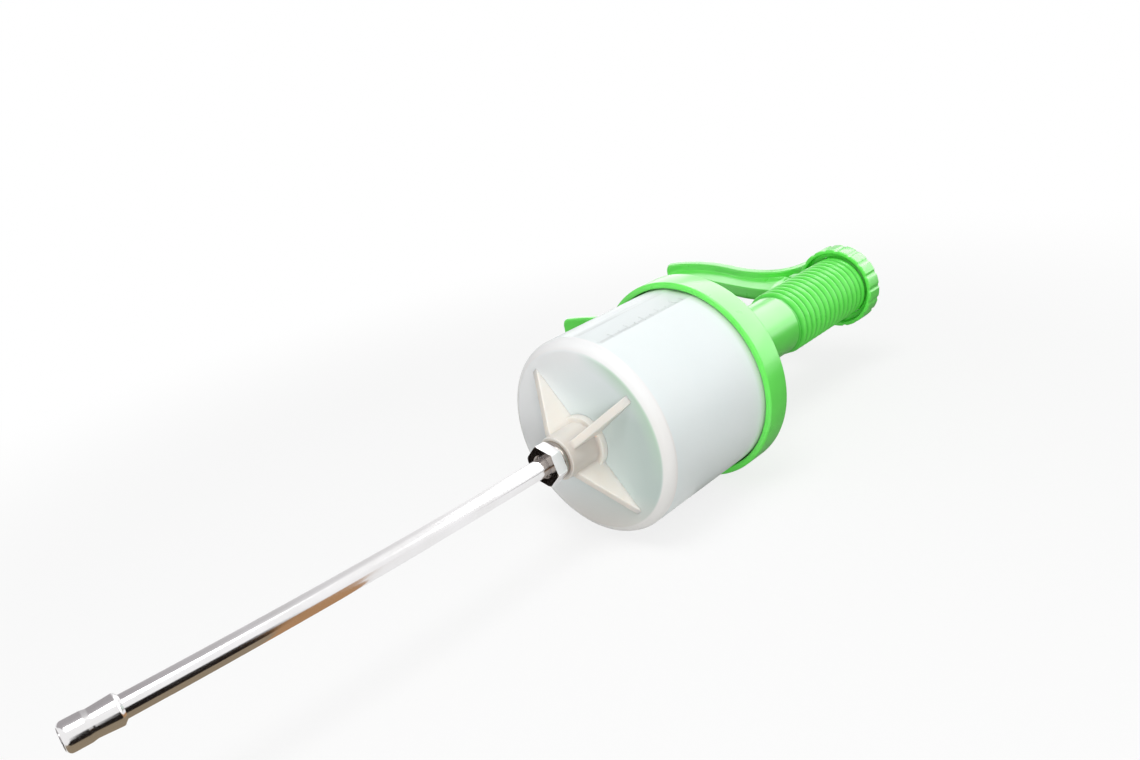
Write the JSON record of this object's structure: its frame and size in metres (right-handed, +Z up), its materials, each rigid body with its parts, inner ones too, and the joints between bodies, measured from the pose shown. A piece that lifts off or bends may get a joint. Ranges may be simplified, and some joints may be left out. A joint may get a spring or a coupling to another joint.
{
  "type": "livestock drencher",
  "caption": "Squeeze-handled livestock drencher: milky dosing barrel, green cap and grip tube, two handles, dose nut on a coarse thread and a long chromed drenching tube.",
  "frame": {"origin": "centre of the footprint of the part lying on its side, on the surface it lies on", "axes": "+X along the barrel axis from the tube to the tail, +Y from the axis to the handle tips, +Z up"},
  "size_m": [0.432, 0.1676, 0.0946],
  "materials": {
    "green_plastic": "moulded, satin gloss",
    "milky_plastic": "milky translucent, satin",
    "white_plastic": "moulded",
    "chrome": "polished chrome plate",
    "steel": "turned",
    "spring_steel": "drawn wire",
    "rubber": "matt"
  },
  "bodies": {
    "body": {"barrel": "milky_plastic", "barrel_gasket": "rubber", "hub_fitting": "chrome", "nozzle_seal": "rubber", "nozzle_nut": "chrome", "nozzle_tube": "chrome", "tube_collar": "chrome", "nozzle_tip": "chrome", "housing": "green_plastic", "thread_sleeve": "green_plastic", "tail_plug": "green_plastic", "rod_guide": "white_plastic", "return_spring": "spring_steel"},
    "plunger": {"piston": "white_plastic", "piston_seal": "rubber", "piston_plate": "steel", "piston_nut": "steel", "piston_rod": "steel", "spring_collar": "white_plastic", "moving_handle": "green_plastic", "rod_washer": "steel", "rod_lock_nut": "steel"},
    "dose_ring": {"dose_nut": "green_plastic"}
  },
  "joints": [
    {"name": "plunger_slide", "type": "slide", "parent": "body", "child": "plunger", "axis": [-1, 0, 0], "range_m": [0, 0.054], "stiffness_N_per_m": 220, "springref_m": -0.04, "deforming": ["return_spring"]},
    {"name": "dose_nut_turn", "type": "hinge", "parent": "body", "child": "dose_ring", "pos_m": [0.20145, -0.03653, 0.0473], "axis": [1, 0, 0], "continuous": true}
  ]
}
